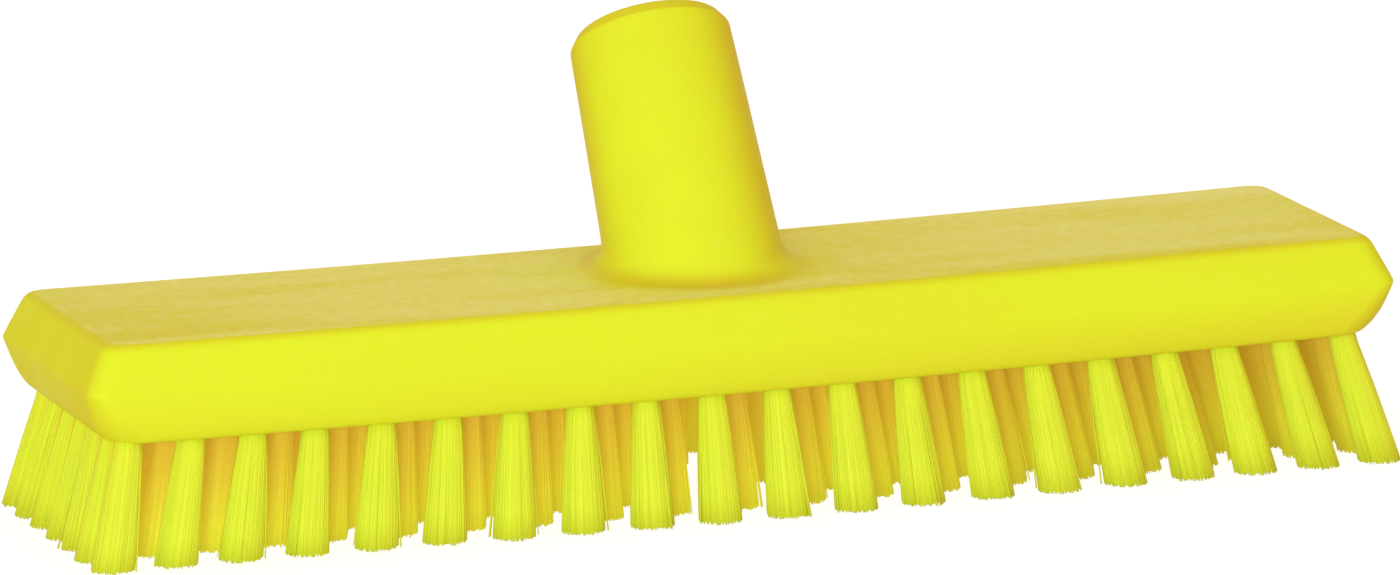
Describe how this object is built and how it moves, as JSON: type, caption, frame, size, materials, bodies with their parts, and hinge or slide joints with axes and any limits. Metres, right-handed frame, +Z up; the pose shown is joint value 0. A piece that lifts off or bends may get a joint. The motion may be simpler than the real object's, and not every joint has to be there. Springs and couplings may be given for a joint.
{
  "type": "water-fed deck brush",
  "caption": "Long scrubbing block with flared tufts of stiff bristles below and a slanted, threaded, water-fed handle socket on top.",
  "frame": {"origin": "on the floor that the bristle tips stand on, under the middle of the brush's box", "axes": "+X along the block, +Y the way the handle socket leans, +Z up from the bristle tips to the socket"},
  "size_m": [0.2728, 0.081, 0.0956],
  "materials": {
    "block_plastic": "satin moulded polypropylene",
    "bristle_plastic": "satin polyester filament",
    "gasket_rubber": "matt rubber"
  },
  "bodies": {
    "root": {"block": "block_plastic", "socket_gasket": "gasket_rubber", "bristle_row_1a": "bristle_plastic", "bristle_row_1b": "bristle_plastic", "bristle_row_1c": "bristle_plastic", "bristle_row_2a": "bristle_plastic", "bristle_row_2b": "bristle_plastic", "bristle_row_2c": "bristle_plastic", "bristle_row_3a": "bristle_plastic", "bristle_row_3b": "bristle_plastic", "bristle_row_3c": "bristle_plastic", "bristle_row_3d": "bristle_plastic", "bristle_row_4a": "bristle_plastic", "bristle_row_4b": "bristle_plastic", "bristle_row_4c": "bristle_plastic", "bristle_row_4d": "bristle_plastic", "bristle_row_5a": "bristle_plastic", "bristle_row_5b": "bristle_plastic", "bristle_row_5c": "bristle_plastic", "bristle_row_6a": "bristle_plastic", "bristle_row_6b": "bristle_plastic", "bristle_row_6c": "bristle_plastic", "bristle_row_7a": "bristle_plastic", "bristle_row_7b": "bristle_plastic", "bristle_row_7c": "bristle_plastic"}
  },
  "joints": []
}
